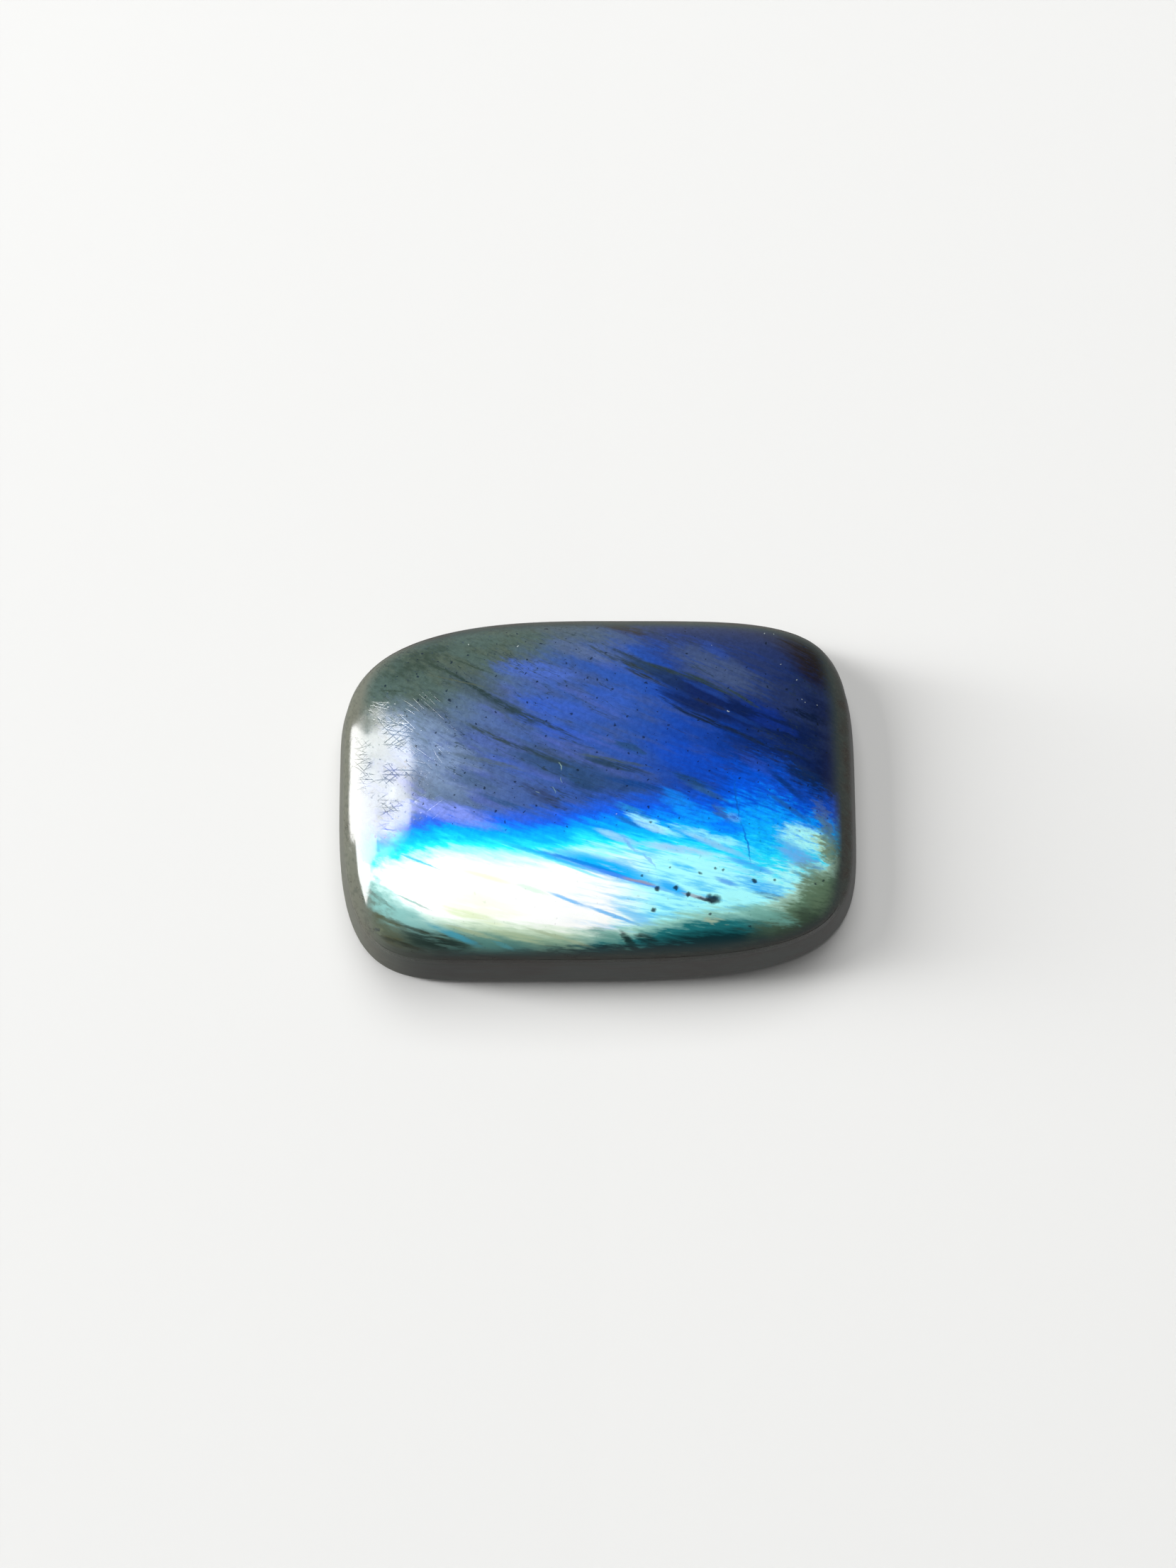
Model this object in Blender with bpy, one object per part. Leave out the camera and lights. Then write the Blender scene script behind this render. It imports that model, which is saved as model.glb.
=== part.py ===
"""A polished labradorite stone, cut as a cushion: flat ground back, leaning side wall,
narrow shoulder and a low domed face. Metres, +Z up, the stone resting on its back."""
import math

import bmesh
import bpy
import numpy as np

# How far the stone reaches from the middle of its back
LENGTH = 0.0320
WIDTH = 0.0224
HEIGHT = 0.0076

# Hand-ground outline: where its four outermost points lie along the sides
FAR_POINT_X = 0.0007
NEAR_POINT_X = -0.0073
LEFT_POINT_Y = 0.0026
RIGHT_POINT_Y = -0.0008

# Fullness of the corner after each outermost point: 2 is an ellipse, more is squarer
CORNER_FULLNESS = {"far_right": 4.5, "far_left": 2.8, "near_left": 3.7, "near_right": 4.25}

# Back and side wall
BACK_BEVEL = 0.0004
WALL_TOP = 0.0039
WALL_LEAN = math.radians(10.0)

# Shoulder between the wall and the face, wider at the two ends than along the sides
SHOULDER_TOP = 0.0049
SHOULDER_WIDTH = {"right": 0.0010, "far": 0.0005, "left": 0.0011, "near": 0.0004}
SHOULDER_SPREAD = 4

# Face: how full its dome is, how roundly it meets the shoulder,
# and how quickly its contours turn from the rim's shape to an oval
DOME_FULLNESS = 2.2
DOME_ROLL = 0.8
OVAL_TURN = 2

# Softness of the polished edges
BACK_EDGE_SOFTNESS = 0.00015
WALL_EDGE_SOFTNESS = 0.00045
FACE_EDGE_SOFTNESS = 0.0007

# Fineness of the mesh
RIM_SEGMENTS = 120
EDGE_STEPS = 3
WALL_STEPS = 2
FACE_STEPS = 12
FACE_CROWDING = 1.15

STONE_BLUE = (0.045, 0.075, 0.21, 1.0)
STONE_ROUGHNESS = 0.12


def clear_scene():
    for thing in list(bpy.data.objects):
        bpy.data.objects.remove(thing, do_unlink=True)


def corner_arc(centre, reach, fullness, quarter, count=400):
    """A quarter of a superellipse, run the way the angle grows."""
    angle = (quarter + np.arange(count) / count) * math.pi / 2
    x = np.sign(np.cos(angle)) * np.abs(np.cos(angle)) ** (2 / fullness)
    y = np.sign(np.sin(angle)) * np.abs(np.sin(angle)) ** (2 / fullness)
    return np.column_stack((centre[0] + reach[0] * x, centre[1] + reach[1] * y))


def girdle_outline():
    """The widest outline as evenly spaced points, anticlockwise from the right-hand end."""
    end, side = LENGTH / 2, WIDTH / 2
    far, near, left, right = FAR_POINT_X, NEAR_POINT_X, LEFT_POINT_Y, RIGHT_POINT_Y
    arcs = (
        corner_arc((far, right), (end - far, side - right), CORNER_FULLNESS["far_right"], 0),
        corner_arc((far, left), (end + far, side - left), CORNER_FULLNESS["far_left"], 1),
        corner_arc((near, left), (end + near, side + left), CORNER_FULLNESS["near_left"], 2),
        corner_arc((near, right), (end - near, side + right), CORNER_FULLNESS["near_right"], 3),
    )
    dense = np.vstack(arcs)
    closed = np.vstack((dense, dense[:1]))
    walked = np.concatenate(([0.0], np.cumsum(np.linalg.norm(np.diff(closed, axis=0), axis=1))))
    stops = np.linspace(0, walked[-1], RIM_SEGMENTS, endpoint=False)
    return np.column_stack([np.interp(stops, walked, closed[:, axis]) for axis in (0, 1)])


def outward(outline):
    along = np.roll(outline, -1, axis=0) - np.roll(outline, 1, axis=0)
    normal = np.column_stack((along[:, 1], -along[:, 0]))
    return normal / np.linalg.norm(normal, axis=1)[:, None]


def shoulder_widths(normal):
    """The shoulder's width at each point, read from the side that the point faces."""
    faces = {"right": normal[:, 0], "left": -normal[:, 0], "far": normal[:, 1], "near": -normal[:, 1]}
    return sum(SHOULDER_WIDTH[side] * np.clip(f, 0, 1) ** SHOULDER_SPREAD for side, f in faces.items())


def ring(outline, height):
    return np.column_stack((outline, np.full(len(outline), height)))


def soft_edge(before, edge, after, softness):
    """Rings that round an edge off, starting and ending softness away from it."""
    toward_before = before - edge
    toward_after = after - edge
    start = edge + softness * toward_before / np.linalg.norm(toward_before, axis=1)[:, None]
    finish = edge + softness * toward_after / np.linalg.norm(toward_after, axis=1)[:, None]
    for step in range(EDGE_STEPS + 1):
        t = step / EDGE_STEPS
        yield (1 - t) ** 2 * start + 2 * t * (1 - t) * edge + t ** 2 * finish


def face_ring(edge, size):
    """A ring of the domed face. Its outline turns from the rim's shape to an oval at the crown."""
    reach = np.array((LENGTH, WIDTH)) / 2
    turn = np.unwrap(np.arctan2(edge[:, 1] / reach[1], edge[:, 0] / reach[0]))
    oval = np.abs(edge[:, :2]).max(axis=0) * np.column_stack((np.cos(turn), np.sin(turn)))
    rim_share = size ** OVAL_TURN
    outline = size * (rim_share * edge[:, :2] + (1 - rim_share) * oval)
    height = SHOULDER_TOP + (HEIGHT - SHOULDER_TOP) * (1 - size ** DOME_FULLNESS) ** DOME_ROLL
    return ring(outline, height)


def stone_rings():
    """Every ring of the stone, from the back up to the crown."""
    girdle = girdle_outline()
    normal = outward(girdle)
    lean = (WALL_TOP - BACK_BEVEL) * math.tan(WALL_LEAN)
    back = ring(girdle - BACK_BEVEL * normal, 0)
    widest = ring(girdle, BACK_BEVEL)
    wall_top = ring(girdle - lean * normal, WALL_TOP)
    face_edge = ring(girdle - (lean + shoulder_widths(normal))[:, None] * normal, SHOULDER_TOP)
    sizes = [1 - (step / FACE_STEPS) ** FACE_CROWDING for step in range(1, FACE_STEPS)]
    first_face_ring = face_ring(face_edge, sizes[0])
    rings = [back]
    rings += soft_edge(back, widest, wall_top, BACK_EDGE_SOFTNESS)
    rings += [widest + (wall_top - widest) * step / (WALL_STEPS + 1) for step in range(1, WALL_STEPS + 1)]
    rings += soft_edge(widest, wall_top, face_edge, WALL_EDGE_SOFTNESS)
    rings += soft_edge(wall_top, face_edge, first_face_ring, FACE_EDGE_SOFTNESS)
    rings += [face_ring(face_edge, size) for size in sizes]
    return rings


def loop_at(bm, points):
    """A closed loop of edges through the points of one ring."""
    circle = bmesh.ops.create_circle(bm, segments=len(points), radius=1.0)["verts"]
    for vert, point in zip(circle, points):
        vert.co = point
    return list({edge for vert in circle for edge in vert.link_edges})


def build_stone():
    bm = bmesh.new()
    loops = [loop_at(bm, points) for points in stone_rings()]
    for lower, upper in zip(loops, loops[1:]):
        bmesh.ops.bridge_loops(bm, edges=lower + upper)
    bmesh.ops.contextual_create(bm, geom=loops[0])
    crown = bmesh.ops.contextual_create(bm, geom=loops[-1])["faces"]
    peak = bmesh.ops.poke(bm, faces=crown)["verts"][0]
    peak.co.z = HEIGHT
    bmesh.ops.recalc_face_normals(bm, faces=bm.faces)
    mesh = bpy.data.meshes.new("labradorite_stone")
    bm.to_mesh(mesh)
    bm.free()
    mesh.shade_smooth()
    mesh.set_sharp_from_angle(angle=math.radians(35))
    stone = bpy.data.objects.new("labradorite_stone", mesh)
    bpy.context.collection.objects.link(stone)
    return stone


def labradorite():
    material = bpy.data.materials.new("labradorite")
    material.use_nodes = True
    surface = material.node_tree.nodes["Principled BSDF"]
    surface.inputs["Base Color"].default_value = STONE_BLUE
    surface.inputs["Roughness"].default_value = STONE_ROUGHNESS
    surface.inputs["Metallic"].default_value = 0.0
    return material


clear_scene()
build_stone().data.materials.append(labradorite())
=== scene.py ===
# %% [markdown]
# # A polished labradorite stone
#
# The stone is one piece of feldspar, sawn, ground to a cushion shape and polished. Its back is flat,
# its side wall leans in a little, and a narrow shoulder leads to a low domed face. The looks of such
# a stone are nearly all in its face: thin layers inside the feldspar throw back blue light, and the
# colour runs from indigo over cobalt and cyan to white, cut by dark veins that all lean one way.
#
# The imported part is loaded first. It has the true size, and everything below is worked out around it.

import math
from collections import namedtuple

import bmesh
import bpy
import numpy as np
from mathutils import Euler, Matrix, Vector, noise


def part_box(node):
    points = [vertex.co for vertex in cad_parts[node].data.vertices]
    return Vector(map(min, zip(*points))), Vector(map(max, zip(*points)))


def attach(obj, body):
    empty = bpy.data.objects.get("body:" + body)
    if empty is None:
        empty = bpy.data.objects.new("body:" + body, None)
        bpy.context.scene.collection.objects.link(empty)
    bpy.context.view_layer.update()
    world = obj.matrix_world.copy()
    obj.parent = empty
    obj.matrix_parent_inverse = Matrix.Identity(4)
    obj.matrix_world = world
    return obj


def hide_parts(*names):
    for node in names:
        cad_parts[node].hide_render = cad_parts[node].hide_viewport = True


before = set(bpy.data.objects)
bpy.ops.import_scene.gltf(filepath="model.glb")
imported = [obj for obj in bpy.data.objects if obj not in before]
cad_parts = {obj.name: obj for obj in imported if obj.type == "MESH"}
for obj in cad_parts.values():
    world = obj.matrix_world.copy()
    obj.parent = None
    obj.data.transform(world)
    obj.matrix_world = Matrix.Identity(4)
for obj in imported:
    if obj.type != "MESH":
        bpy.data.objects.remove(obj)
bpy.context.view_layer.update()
MM = 0.001
low, high = (Vector(corner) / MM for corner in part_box("labradorite_stone"))
print("packed stone, mm:", [round(side, 2) for side in high - low])

# %% [markdown]
# ## The stone's shape
#
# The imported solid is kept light, with wide flat faces that would show in a glossy reflection. The
# visible stone is the same form drawn much finer. A subdivision surface over the coarse mesh would
# be quick, but it pulls every edge inwards and loses the true size. Drawing the same rings again,
# closer together, keeps both the size and the soft edges exact.
#
# The widest outline comes first. A cushion ground by eye has four different corners, so each quarter
# is its own superellipse: fullness 2 is an ellipse, and a larger number is squarer.

# %% The widest outline
LENGTH, WIDTH, HEIGHT = 32.0, 22.4, 7.6
FAR_POINT_X, NEAR_POINT_X = 0.7, -7.3
LEFT_POINT_Y, RIGHT_POINT_Y = 2.6, -0.8
FULLNESS = {"far_right": 4.5, "far_left": 2.8, "near_left": 3.7, "near_right": 4.25}
RIM_SEGMENTS = 420


def corner_arc(centre, reach, fullness, quarter, count=1500):
    """A quarter of a superellipse, run the way the angle grows."""
    angle = (quarter + np.arange(count) / count) * math.pi / 2
    x = np.sign(np.cos(angle)) * np.abs(np.cos(angle)) ** (2 / fullness)
    y = np.sign(np.sin(angle)) * np.abs(np.sin(angle)) ** (2 / fullness)
    return np.column_stack((centre[0] + reach[0] * x, centre[1] + reach[1] * y))


def widest_outline():
    """The stone's widest outline, in mm, as evenly spaced points."""
    end, side = LENGTH / 2, WIDTH / 2
    far, near, left, right = FAR_POINT_X, NEAR_POINT_X, LEFT_POINT_Y, RIGHT_POINT_Y
    arcs = (
        corner_arc((far, right), (end - far, side - right), FULLNESS["far_right"], 0),
        corner_arc((far, left), (end + far, side - left), FULLNESS["far_left"], 1),
        corner_arc((near, left), (end + near, side + left), FULLNESS["near_left"], 2),
        corner_arc((near, right), (end - near, side + right), FULLNESS["near_right"], 3),
    )
    dense = np.vstack(arcs)
    closed = np.vstack((dense, dense[:1]))
    walked = np.concatenate(([0.0], np.cumsum(np.linalg.norm(np.diff(closed, axis=0), axis=1))))
    stops = np.linspace(0, walked[-1], RIM_SEGMENTS, endpoint=False)
    return np.column_stack([np.interp(stops, walked, closed[:, axis]) for axis in (0, 1)])


outline = widest_outline()
print("outline, mm:", np.ptp(outline, axis=0).round(2))

# %% [markdown]
# ## Rings from the back to the crown
#
# A lapidary grinds the stone in this order: a flat back with a tiny bevel against chipping, a side
# wall, a shoulder, and then the dome. Each stage is a ring or a few rings here. Where two stages
# meet, polishing has rounded the edge, so a quadratic curve runs over it. The dome has eight times as
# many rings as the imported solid. Its outer edge is rounded as far in as the solid's first ring, so
# both have the same edge.

# %% Rings of the wall, the shoulder and the face
BACK_BEVEL = 0.4
WALL_TOP = 3.9
WALL_LEAN = math.radians(10.0)
SHOULDER_TOP = 4.9
SHOULDER_WIDTH = {"right": 1.0, "far": 0.5, "left": 1.1, "near": 0.4}
SHOULDER_SPREAD = 4
DOME_FULLNESS, DOME_ROLL, OVAL_TURN = 2.2, 0.8, 2
SOFTNESS = {"back": 0.15, "wall": 0.45, "face": 0.7}
EDGE_STEPS, WALL_STEPS, FACE_STEPS = 6, 14, 96
FACE_CROWDING, SOLID_FACE_STEPS = 1.15, 12


def outward(points):
    """The direction straight out from each point of an outline."""
    along = np.roll(points, -1, axis=0) - np.roll(points, 1, axis=0)
    normal = np.column_stack((along[:, 1], -along[:, 0]))
    return normal / np.linalg.norm(normal, axis=1)[:, None]


def shoulder_widths(normal):
    """The shoulder is wider at the two ends than along the sides."""
    faces = {"right": normal[:, 0], "left": -normal[:, 0], "far": normal[:, 1], "near": -normal[:, 1]}
    return sum(SHOULDER_WIDTH[side] * np.clip(f, 0, 1) ** SHOULDER_SPREAD for side, f in faces.items())


def ring(points, height):
    return np.column_stack((points, np.full(len(points), height)))


def soft_edge(before, edge, after, softness):
    """Rings that round an edge off, starting and ending softness away from it."""
    toward_before, toward_after = before - edge, after - edge
    start = edge + softness * toward_before / np.linalg.norm(toward_before, axis=1)[:, None]
    finish = edge + softness * toward_after / np.linalg.norm(toward_after, axis=1)[:, None]
    for step in range(EDGE_STEPS + 1):
        t = step / EDGE_STEPS
        yield (1 - t) ** 2 * start + 2 * t * (1 - t) * edge + t ** 2 * finish


def face_ring(edge, size):
    """A ring of the dome. Its outline turns from the rim's shape to an oval at the crown."""
    reach = np.array((LENGTH, WIDTH)) / 2
    turn = np.unwrap(np.arctan2(edge[:, 1] / reach[1], edge[:, 0] / reach[0]))
    oval = np.abs(edge[:, :2]).max(axis=0) * np.column_stack((np.cos(turn), np.sin(turn)))
    rim_share = size ** OVAL_TURN
    points = size * (rim_share * edge[:, :2] + (1 - rim_share) * oval)
    return ring(points, SHOULDER_TOP + (HEIGHT - SHOULDER_TOP) * (1 - size ** DOME_FULLNESS) ** DOME_ROLL)


def stone_rings():
    normal = outward(outline)
    lean = (WALL_TOP - BACK_BEVEL) * math.tan(WALL_LEAN)
    back = ring(outline - BACK_BEVEL * normal, 0)
    widest = ring(outline, BACK_BEVEL)
    wall_top = ring(outline - lean * normal, WALL_TOP)
    face_edge = ring(outline - (lean + shoulder_widths(normal))[:, None] * normal, SHOULDER_TOP)
    coarse_step = 1 - (1 / SOLID_FACE_STEPS) ** FACE_CROWDING
    first_inside = face_ring(face_edge, coarse_step)
    sizes = [1 - (step / FACE_STEPS) ** FACE_CROWDING for step in range(1, FACE_STEPS)]
    wall_length = (WALL_TOP - BACK_BEVEL) / math.cos(WALL_LEAN)
    wall_shares = np.linspace(SOFTNESS["back"], wall_length - SOFTNESS["wall"], WALL_STEPS + 2) / wall_length
    rings = [back]
    rings += soft_edge(back, widest, wall_top, SOFTNESS["back"])
    rings += [widest + (wall_top - widest) * share for share in wall_shares[1:-1]]
    rings += soft_edge(widest, wall_top, face_edge, SOFTNESS["wall"])
    rings += soft_edge(wall_top, face_edge, first_inside, SOFTNESS["face"])
    rings += [face_ring(face_edge, size) for size in sizes if size < coarse_step]
    return rings


rings = stone_rings()
print(len(rings), "rings of", RIM_SEGMENTS, "points")

# %% [markdown]
# ## One closed shell
#
# So far the rings are only points. Each becomes a loop of edges, and the bridge operator lays a band
# of faces from one loop to the next. Round forms are usually spun, but this outline isn't round, and
# bridging takes any outline. One flat face closes the back, and a fan of triangles closes the crown.

# %% Bridge the rings into one shell
SHARP_ANGLE = math.radians(35)


def loop_at(bm, points):
    """A closed loop of edges through the points of one ring."""
    circle = bmesh.ops.create_circle(bm, segments=len(points), radius=1.0)["verts"]
    for vert, point in zip(circle, points):
        vert.co = point * MM
    return list({edge for vert in circle for edge in vert.link_edges})


def build_stone():
    bm = bmesh.new()
    loops = [loop_at(bm, points) for points in rings]
    for lower, upper in zip(loops, loops[1:]):
        bmesh.ops.bridge_loops(bm, edges=lower + upper)
    bmesh.ops.contextual_create(bm, geom=loops[0])
    crown = bmesh.ops.contextual_create(bm, geom=loops[-1])["faces"]
    peak = bmesh.ops.poke(bm, faces=crown)["verts"][0]
    peak.co.z = HEIGHT * MM
    bmesh.ops.recalc_face_normals(bm, faces=bm.faces)
    mesh = bpy.data.meshes.new("labradorite")
    bm.to_mesh(mesh)
    bm.free()
    mesh.shade_smooth()
    mesh.set_sharp_from_angle(angle=SHARP_ANGLE)
    piece = bpy.data.objects.new("labradorite", mesh)
    bpy.context.scene.collection.objects.link(piece)
    return piece


stone = build_stone()
print("stone has", len(stone.data.polygons), "faces")

# %% [markdown]
# ## Polished by eye, not machined
#
# A stone is turned freely against the polishing wheel, so the dome isn't perfect. Its surface waves
# by a few hundredths of a millimetre, enough to bend the mirrored window. Large grains of ore polish
# deeper than feldspar and leave hollows. A bump in the material could fake both, but a bump leaves
# the mesh itself perfect, so the points are moved instead. Both only take material away. The crown
# stays where it is, so the stone keeps its height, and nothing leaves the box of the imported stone.

# %% Waves and hollows
WAVE_DEPTH, WAVE_LENGTH = 0.05, 3.2
RIPPLE_SHARE, RIPPLE_RATE = 0.5, 2.3
CROWN_LEFT_ALONE = 0.02
HOLLOWS = {(6.8, -7.1): 0.55, (5.3, -6.8): 0.3, (3.3, -7.7): 0.28, (1.8, -9.3): 0.5, (2.8, -9.3): 0.45,
           (9.2, -6.0): 0.25, (-13.1, -8.7): 0.3, (11.2, -5.5): 0.3, (11.7, -6.0): 0.3}
HOLLOW_DEPTH = 0.03


def worn_away(point):
    """How much the surface has lost at a point, in mm."""
    ripple = noise.noise(point / WAVE_LENGTH * RIPPLE_RATE)
    wave = noise.noise(point / WAVE_LENGTH) + RIPPLE_SHARE * ripple
    loss = WAVE_DEPTH * min(max(0.5 + 0.5 * wave, 0.0), 1.0)
    for (x, y), radius in HOLLOWS.items():
        away = math.hypot(point.x - x, point.y - y) / radius
        if away < 1 and point.z > SHOULDER_TOP:
            loss += HOLLOW_DEPTH * (1 - away ** 2) ** 2
    return loss


normals = [vert.normal.copy() for vert in stone.data.vertices]
losses = []
for vert, normal in zip(stone.data.vertices, normals):
    point = vert.co / MM
    on_face = min(max((point.z - WALL_TOP) / (SHOULDER_TOP - WALL_TOP), 0.0), 1.0)
    settled = 0.0 if point.z > HEIGHT - CROWN_LEFT_ALONE else on_face
    losses.append(settled * worn_away(point))
    point -= losses[-1] * normal
    for axis in range(3):
        point[axis] = min(max(point[axis], low[axis]), high[axis])
    vert.co = point * MM
print("deepest loss, mm:", round(max(losses), 3))

# %% [markdown]
# ## Nodes without the clicking
#
# The finish is a shader node tree. In the editor it would be a thousand clicks. A few small helpers
# keep the script close to what it draws: feed gives a socket a value or a link, put adds a node,
# calc adds one step of arithmetic, mix lays one colour over another and spread makes a soft step.
# After each step, tally prints how large the tree has grown.

# %% Helpers for node trees


def feed(tree, socket, value):
    """Gives an input a fixed value, or links it to another node's output."""
    if isinstance(value, bpy.types.NodeSocket):
        tree.links.new(value, socket)
    elif socket.type == "RGBA":
        socket.default_value = (*value[:3], 1)
    else:
        socket.default_value = value


def put(tree, kind, settings=None, **inputs):
    """Adds a node, sets its options, and feeds its inputs by name, with _ for a space."""
    made = tree.nodes.new("ShaderNode" + kind)
    for option, value in (settings or {}).items():
        setattr(made, option, value)
    for name, value in inputs.items():
        feed(tree, made.inputs[name.replace("_", " ")], value)
    return made


def calc(tree, operation, *terms):
    """One step of arithmetic on numbers or outputs."""
    made = put(tree, "Math", {"operation": operation})
    for socket, term in zip(made.inputs, terms):
        feed(tree, socket, term)
    return made.outputs["Value"]


def vector_calc(tree, operation, *terms):
    """One step of arithmetic on vectors. SCALE takes a vector and a number."""
    made = put(tree, "VectorMath", {"operation": operation})
    sockets = [made.inputs[0], made.inputs["Scale"]] if operation == "SCALE" else made.inputs
    for socket, term in zip(sockets, terms):
        feed(tree, socket, term)
    return made.outputs["Value" if operation == "DOT_PRODUCT" else "Vector"]


def mix(tree, share, under, over):
    """Lays a colour over another."""
    made = put(tree, "Mix", {"data_type": "RGBA"})
    for socket, value in zip((made.inputs[0], made.inputs[6], made.inputs[7]), (share, under, over)):
        feed(tree, socket, value)
    return made.outputs[2]


def spread(tree, value, start, end, low=0.0, high=1.0):
    """Runs smoothly from low to high while the value goes from start to end."""
    made = put(tree, "MapRange", {"interpolation_type": "SMOOTHSTEP"}, Value=value)
    for name, number in (("From Min", start), ("From Max", end), ("To Min", low), ("To Max", high)):
        feed(tree, made.inputs[name], number)
    return made.outputs["Result"]


def new_group(name, inputs, outputs):
    """An empty node group with named sockets: its tree, its inputs and its outputs."""
    group = bpy.data.node_groups.new(name, "ShaderNodeTree")
    for side, sockets in (("INPUT", inputs), ("OUTPUT", outputs)):
        for socket, kind in sockets.items():
            group.interface.new_socket(name=socket, in_out=side, socket_type="NodeSocket" + kind)
    return group, group.nodes.new("NodeGroupInput").outputs, group.nodes.new("NodeGroupOutput").inputs


def use_group(tree, group, **inputs):
    """Uses a node group once, and returns its outputs."""
    made = tree.nodes.new("ShaderNodeGroup")
    made.node_tree = group
    for name, value in inputs.items():
        feed(tree, made.inputs[name.replace("_", " ")], value)
    return made.outputs


def tally(step, tree):
    """Prints how many nodes a tree has after a step."""
    print(f"{step}: {len(tree.nodes)} nodes")


# %% [markdown]
# ## The way the layers run
#
# Everything inside the stone leans one way: bands, veins and streaks run down to the right, steeper
# at the far side and flatter at the near right. One formula gives each point its place across the
# layers. Points with the same value lie on one layer, so noise that is stretched along them becomes
# streaks that bend as the real ones do.

# %% Group: flow along the layers
LAYER_SLOPE, LAYER_FAN = 0.37, 0.022

flow, given, result = new_group("layer_flow", {"Place": "Vector"}, {"Flow": "Vector"})
at = put(flow, "SeparateXYZ", Vector=given["Place"]).outputs
slope = calc(flow, "MULTIPLY_ADD", at["Y"], LAYER_FAN, LAYER_SLOPE)
across = calc(flow, "MULTIPLY_ADD", at["X"], slope, at["Y"])
feed(flow, result["Flow"], put(flow, "CombineXYZ", X=at["X"], Y=across, Z=at["Z"]).outputs[0])
tally("group layer_flow", flow)

# %% [markdown]
# ## Streaks
#
# Most of what shows in this stone is noise, drawn out along the layers. The flow already runs along
# them, so dividing it by a length and a width, in mm, gives streaks of that size. One group then
# serves for broad clouds as well as for threads that are a tenth of a millimetre wide.

# %% Group: streaks along the layers
STREAK_ROUGHNESS = 0.6

streaks, given, result = new_group(
    "streaks",
    {"Flow": "Vector", "Length": "Float", "Width": "Float", "Detail": "Float"},
    {"Value": "Float", "Color": "Color"},
)
stretch = put(streaks, "CombineXYZ", X=given["Length"], Y=given["Width"], Z=given["Width"]).outputs[0]
shape = vector_calc(streaks, "DIVIDE", given["Flow"], stretch)
drawn = put(streaks, "TexNoise", Vector=shape, Scale=1.0, Detail=given["Detail"], Roughness=STREAK_ROUGHNESS)
feed(streaks, result["Value"], drawn.outputs["Fac"])
feed(streaks, result["Color"], drawn.outputs["Color"])
tally("group streaks", streaks)

# %% [markdown]
# ## Feathered edges
#
# A band in the stone has no clean edge: it frays along the layers. Fraying is done once, on the
# coordinates. A point looks up the pattern a little way off, mostly along the layers, and how far
# off comes from the streaks. Every shape that is drawn on the shifted places then has frayed edges.

# %% Group: feathered places
STREAK_ASPECT, SHIFT_ALONG = 5.0, 4.0

feather, given, result = new_group(
    "feather",
    {"Place": "Vector", "Flow": "Vector", "Reach": "Float", "Width": "Float"},
    {"Place": "Vector"},
)
length = calc(feather, "MULTIPLY", given["Width"], STREAK_ASPECT)
fray = use_group(feather, streaks, Flow=given["Flow"], Length=length, Width=given["Width"], Detail=3.0)
centred = vector_calc(feather, "SUBTRACT", fray["Color"], (0.5, 0.5, 0.5))
shift = put(feather, "SeparateXYZ", Vector=centred).outputs
along = vector_calc(feather, "SCALE", (SHIFT_ALONG, -SHIFT_ALONG * LAYER_SLOPE, 0), shift["X"])
sideways = vector_calc(feather, "SCALE", (0, 1.0, 0), shift["Y"])
shift = vector_calc(feather, "SCALE", vector_calc(feather, "ADD", along, sideways), given["Reach"])
feed(feather, result["Place"], vector_calc(feather, "ADD", given["Place"], shift))
tally("group feather", feather)

# %% [markdown]
# ## One shape for every marking
#
# Veins, bands, patches and grains in this stone are all lenses: long or short ovals with pointed or
# soft ends, some of them bowed. One group draws such a lens. It measures how far along and how far
# to the left of the lens a point lies, in half lengths and half widths, bends the result by the bow,
# and turns the distance into a mask. Where the streaks are worn thin, the mask is too.

# %% Group: a lens
lens, given, result = new_group(
    "lens",
    {"Place": "Vector", "Middle": "Vector", "Along": "Vector", "Left": "Vector",
     "Bow": "Float", "Core": "Float", "Strength": "Float", "Wear": "Float"},
    {"Mask": "Float"},
)
local = vector_calc(lens, "SUBTRACT", given["Place"], given["Middle"])
along = vector_calc(lens, "DOT_PRODUCT", local, given["Along"])
left = vector_calc(lens, "DOT_PRODUCT", local, given["Left"])
along_squared = calc(lens, "MULTIPLY", along, along)
left = calc(lens, "MULTIPLY_ADD", along_squared, given["Bow"], left)
distance = calc(lens, "MULTIPLY_ADD", left, left, along_squared)
mask = spread(lens, distance, 1.0, given["Core"], 0.0, given["Strength"])
feed(lens, result["Mask"], calc(lens, "MULTIPLY", mask, given["Wear"]))
tally("group lens", lens)

# %% [markdown]
# ## Markings as a list
#
# With the lens as a group, a vein is one line in a list: where it starts and ends, how wide it is,
# its colour, how strongly it covers what lies below, how far it bows, and how soft its edge is. A
# painted image could hold the veins too, but a list stays sharp at any size, and a vein is moved by
# changing two numbers.

# %% Markings and how they are laid
Marking = namedtuple("Marking", "start end width colour strength bow soft", defaults=(0.85, 0.0, 0.8))


def lens_mask(tree, place, wear, mark):
    """A lens from one tip to the other, in mm. The bow is how far its middle stands off to the left."""
    start, end = Vector((*mark.start, 0)), Vector((*mark.end, 0))
    run = end - start
    left = Vector((-run.y, run.x, 0)).normalized()
    return use_group(
        tree, lens, Place=place, Middle=(start + end) / 2 + mark.bow * left,
        Along=2 * run / run.length_squared, Left=2 * left / mark.width, Bow=2 * mark.bow / mark.width,
        Core=(1 - mark.soft) ** 2, Strength=mark.strength, Wear=wear,
    )["Mask"]


def lay(tree, colour, place, wear, markings):
    """Lays markings over a colour, the first one lowest. Wear is a streak noise that thins them."""
    for mark in markings:
        colour = mix(tree, lens_mask(tree, place, wear, mark), colour, mark.colour)
    return colour


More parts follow.
